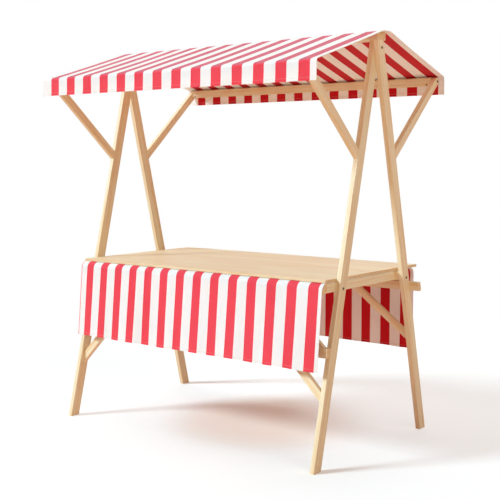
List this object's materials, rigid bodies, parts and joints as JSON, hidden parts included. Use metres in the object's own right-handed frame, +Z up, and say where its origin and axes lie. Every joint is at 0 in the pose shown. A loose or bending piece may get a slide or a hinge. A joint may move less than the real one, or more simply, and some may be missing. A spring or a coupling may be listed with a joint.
{
  "type": "folding market stall",
  "caption": "Timber market stall on A-frame legs, with a striped cloth roof with hanging edges, and a table board over a striped cloth that hangs down front and back.",
  "frame": {"origin": "on the floor, at the middle of the stall", "axes": "+Z up, +X along the length, +Y from the front to the back"},
  "size_m": [1.82, 1.1986, 2.0413],
  "materials": {
    "frame_wood": "planed and oiled, pale",
    "board_wood": "planed and oiled, pale",
    "roof_canvas": "woven canvas, red and white stripes",
    "table_canvas": "woven canvas, red and white stripes"
  },
  "bodies": {
    "root": {"front_leg_right": "frame_wood", "front_leg_left": "frame_wood", "back_leg_right": "frame_wood", "back_leg_left": "frame_wood", "ridge_beam": "frame_wood", "front_eave_beam": "frame_wood", "back_eave_beam": "frame_wood", "front_roof_brace_right": "frame_wood", "front_roof_brace_left": "frame_wood", "back_roof_brace_right": "frame_wood", "back_roof_brace_left": "frame_wood", "end_rail_right": "frame_wood", "end_rail_left": "frame_wood", "rail_packer_right": "frame_wood", "rail_packer_left": "frame_wood", "front_apron": "frame_wood", "front_stretcher": "frame_wood", "upper_front_brace_right": "frame_wood", "upper_front_brace_left": "frame_wood", "lower_front_brace_right": "frame_wood", "lower_front_brace_left": "frame_wood", "back_rail": "frame_wood", "back_brace_right": "frame_wood", "back_brace_left": "frame_wood", "table_board": "board_wood", "table_cloth": "table_canvas", "roof_cloth": "roof_canvas"}
  },
  "joints": []
}
